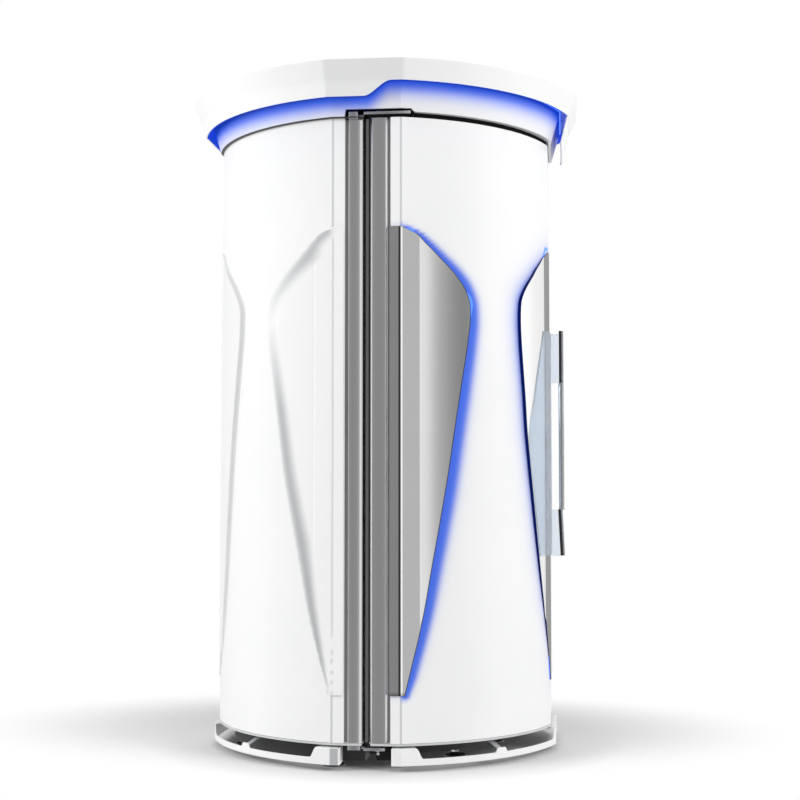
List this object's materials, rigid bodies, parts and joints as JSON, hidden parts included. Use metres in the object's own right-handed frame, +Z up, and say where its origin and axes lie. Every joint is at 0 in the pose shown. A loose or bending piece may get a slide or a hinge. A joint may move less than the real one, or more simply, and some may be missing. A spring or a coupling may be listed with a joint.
{
  "type": "vertical tanning booth",
  "caption": "Stand-up tanning booth: an oval two-part shell with a hinged lamp-lined door, wing panels, platform and a flared crown with an exhaust.",
  "frame": {"origin": "on the floor, in the middle of the plan outline", "axes": "+Z up, -Y towards the door's front, -X the hinge side, +X the catch side"},
  "size_m": [1.512, 1.42, 2.41],
  "materials": {
    "white_shell": "gloss",
    "white_metal": "satin",
    "grey_plate": "satin",
    "dark_frame": "matt",
    "bare_aluminium": "satin",
    "silver_wing": "metallic satin",
    "reflector": "bright",
    "ceiling_white": "satin",
    "ballast_can": "satin",
    "lamp_glass": "phosphor coated",
    "lamp_socket": "matt",
    "clear_guard": "clear",
    "clear_handle": "clear, pale blue",
    "black_plastic": "matt",
    "seal_rubber": "matt",
    "platform": "satin",
    "hinge_steel": "brushed",
    "bearing_bronze": "satin",
    "led_blue": "lit",
    "panel_plastic": "satin",
    "button_red": "gloss",
    "button_blue": "gloss",
    "button_green": "gloss"
  },
  "bodies": {
    "booth": {"rear_shell_hinge_side": "white_shell", "rear_shell_catch_side": "white_shell", "rear_shell_back": "white_shell", "rear_side_wings": "white_shell", "rear_wing_back": "white_shell", "crown_neck": "white_shell", "crown_fascia": "white_shell", "crown_roof": "white_shell", "rear_plinth": "white_metal", "rear_plates": "grey_plate", "base_frame": "dark_frame", "rear_uprights": "bare_aluminium", "rear_end_panels": "bare_aluminium", "exhaust_spigot": "bare_aluminium", "rear_reflector": "reflector", "ceiling_panel": "ceiling_white", "ceiling_grille": "ceiling_white", "ballast_units": "ballast_can", "rear_lamps": "lamp_glass", "rear_lamp_sockets": "lamp_socket", "rear_guards": "clear_guard", "fan_housing": "black_plastic", "mains_gland": "black_plastic", "rear_seals": "seal_rubber", "levelling_feet": "seal_rubber", "floor_mat": "seal_rubber", "floor_platform": "platform", "hinge_brackets": "hinge_steel", "hinge_pins": "hinge_steel", "catch_magnets": "hinge_steel", "hand_rail": "hinge_steel", "fan_motor": "hinge_steel", "hinge_thrust_washer": "bearing_bronze", "crown_led_strip": "led_blue", "control_panel": "panel_plastic"},
    "door": {"door_plinth": "white_metal", "door_plates": "grey_plate", "door_uprights": "bare_aluminium", "door_side_wings": "silver_wing", "door_shell_hinge_side": "white_shell", "door_shell_catch_side": "white_shell", "door_shell_front": "white_shell", "door_wing_front": "silver_wing", "door_lamps": "lamp_glass", "door_lamp_sockets": "lamp_socket", "door_reflector": "reflector", "door_guards": "clear_guard", "door_end_panels": "bare_aluminium", "door_seals": "seal_rubber", "door_hinge_bushes": "bearing_bronze", "door_stop_block": "seal_rubber", "door_strikers": "hinge_steel", "door_led_strips": "led_blue", "handle_plate": "clear_handle", "handle_blades": "black_plastic", "handle_bar": "bare_aluminium"},
    "fan_rotor": {"fan_rotor": "black_plastic"},
    "button_stop": {"button_stop": "button_red"},
    "button_fan": {"button_fan": "button_blue"},
    "button_start": {"button_start": "button_green"}
  },
  "joints": [
    {"name": "door_hinge", "type": "hinge", "parent": "booth", "child": "door", "pos_m": [-0.63, -0.038, 1.1], "axis": [0, 0, -1], "range_deg": [0, 110]},
    {"name": "fan_spin", "type": "hinge", "parent": "booth", "child": "fan_rotor", "pos_m": [0, 0, 2.24], "axis": [0, 0, 1], "continuous": true},
    {"name": "stop_press", "type": "slide", "parent": "booth", "child": "button_stop", "axis": [1, 0, 0], "range_m": [0, 0.0015], "stiffness_N_per_m": 800, "springref_m": -0.0005},
    {"name": "fan_press", "type": "slide", "parent": "booth", "child": "button_fan", "axis": [1, 0, 0], "range_m": [0, 0.0015], "stiffness_N_per_m": 800, "springref_m": -0.0005},
    {"name": "start_press", "type": "slide", "parent": "booth", "child": "button_start", "axis": [1, 0, 0], "range_m": [0, 0.0015], "stiffness_N_per_m": 800, "springref_m": -0.0005}
  ]
}
